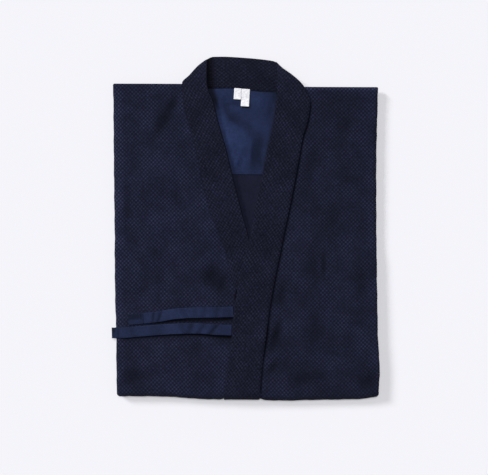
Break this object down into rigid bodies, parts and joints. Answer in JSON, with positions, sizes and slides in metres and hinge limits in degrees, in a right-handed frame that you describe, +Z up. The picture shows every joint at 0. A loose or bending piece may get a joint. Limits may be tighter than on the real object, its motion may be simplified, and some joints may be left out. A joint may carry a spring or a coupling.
{
  "type": "folded kendo jacket",
  "caption": "Navy kendo jacket folded to a flat bundle, front up, with its crossed collar, shoulder lining, blank labels and cotton ties",
  "frame": {"origin": "middle of the folded bundle, on the surface that it lies on", "axes": "+X across the bundle towards the wearer's left front, +Y towards the collar, +Z up from the surface"},
  "size_m": [0.4661, 0.6002, 0.0244],
  "materials": {
    "jacket_cloth": "matt navy jacquard with a small raised diamond repeat",
    "collar_cloth": "darker navy cloth with fine cross ribs, doubled over a stiffener",
    "lining_cotton": "smooth navy cotton with a soft sheen",
    "tie_cotton": "smooth navy cotton tape, stitched along its edges",
    "label_tape": "blank white woven tape"
  },
  "bodies": {
    "root": {"folded_layers": "jacket_cloth", "back_body": "jacket_cloth", "right_front": "jacket_cloth", "left_front": "jacket_cloth", "collar_back": "collar_cloth", "collar_right": "collar_cloth", "collar_left": "collar_cloth", "shoulder_lining": "lining_cotton", "tie_upper": "tie_cotton", "tie_lower": "tie_cotton", "label_wide": "label_tape", "label_long": "label_tape"}
  },
  "joints": []
}
